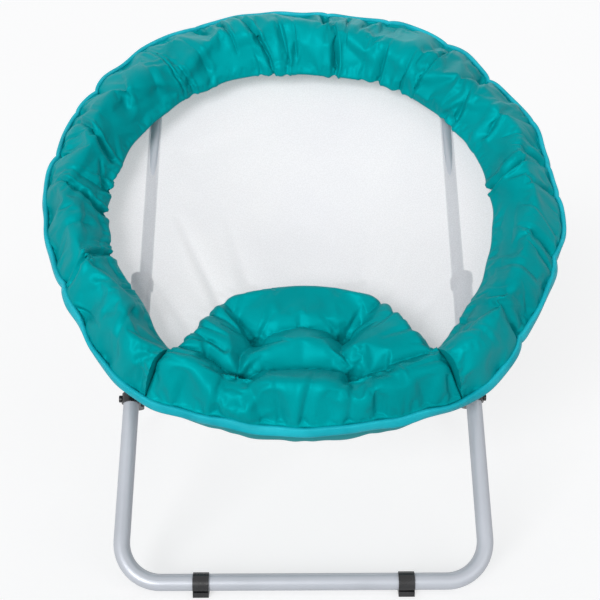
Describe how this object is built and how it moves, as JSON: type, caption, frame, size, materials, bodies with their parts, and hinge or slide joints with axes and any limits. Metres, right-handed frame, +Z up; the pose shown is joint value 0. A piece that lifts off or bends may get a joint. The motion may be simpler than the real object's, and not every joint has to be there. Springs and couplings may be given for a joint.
{
  "type": "folding_saucer_chair",
  "caption": "Folding saucer chair: padded round teal rim with hanging white mesh seat and tufted front panel, on crossed grey tube legs with sliding back stays",
  "frame": {"origin": "centre of the chair's footprint box, on the floor", "axes": "+Z up, the sitter faces -Y, +X is to the right when seen from the front"},
  "size_m": [0.784, 0.6697, 0.7235],
  "materials": {
    "frame_paint": "silver-grey satin powder coat",
    "bare_steel": "zinc plated",
    "black_plastic": "black moulded plastic",
    "grey_plastic": "grey moulded plastic",
    "teal_cloth": "shiny woven nylon over wadding",
    "binding_tape": "woven binding tape",
    "white_mesh": "white semi-sheer mesh"
  },
  "bodies": {
    "front_legs": {"front_leg_frame": "frame_paint", "front_floor_clips": "black_plastic", "stay_guides": "grey_plastic", "stay_stops": "black_plastic", "stop_bolts": "black_plastic", "pivot_spacers": "bare_steel", "pivot_bolts": "black_plastic", "pivot_nuts": "bare_steel"},
    "rear_legs": {"rear_leg_frame": "frame_paint", "rear_floor_clips": "black_plastic", "rear_leg_ends": "black_plastic", "rear_joint_bolts": "black_plastic"},
    "stays": {"right_stay": "frame_paint", "left_stay": "frame_paint", "stay_shoes": "grey_plastic", "stay_joint_pins": "bare_steel"},
    "saucer": {"rim_tube": "frame_paint", "stay_brackets": "bare_steel", "leg_brackets": "bare_steel", "leg_bracket_rivets": "bare_steel", "padding_back": "teal_cloth", "padding_side_right": "teal_cloth", "padding_side_left": "teal_cloth", "padding_front_right": "teal_cloth", "padding_front_left": "teal_cloth", "rim_binding": "binding_tape", "seat_mesh": "white_mesh", "seat_mesh_right": "white_mesh", "seat_mesh_left": "white_mesh", "seat_pad": "teal_cloth", "front_wrap": "teal_cloth"}
  },
  "joints": [
    {"name": "leg_fold", "type": "hinge", "parent": "front_legs", "child": "rear_legs", "pos_m": [0, -0.10527, 0.25028], "axis": [-1, 0, 0], "range_deg": [0, 96]},
    {"name": "stay_slide", "type": "slide", "parent": "front_legs", "child": "stays", "axis": [0, 0.6753, 0.7375], "range_m": [0, 0.0613]},
    {"name": "saucer_tilt", "type": "hinge", "parent": "stays", "child": "saucer", "pos_m": [0, 0.24335, 0.60068], "axis": [1, 0, 0], "range_deg": [0, 4.92], "deforming": ["seat_mesh_left", "seat_mesh_right"]}
  ],
  "couplings": [
    {"joint": "stay_slide", "follows": "leg_fold", "m_per_rad": 0.036581},
    {"joint": "saucer_tilt", "follows": "leg_fold", "ratio": 0.051138}
  ]
}
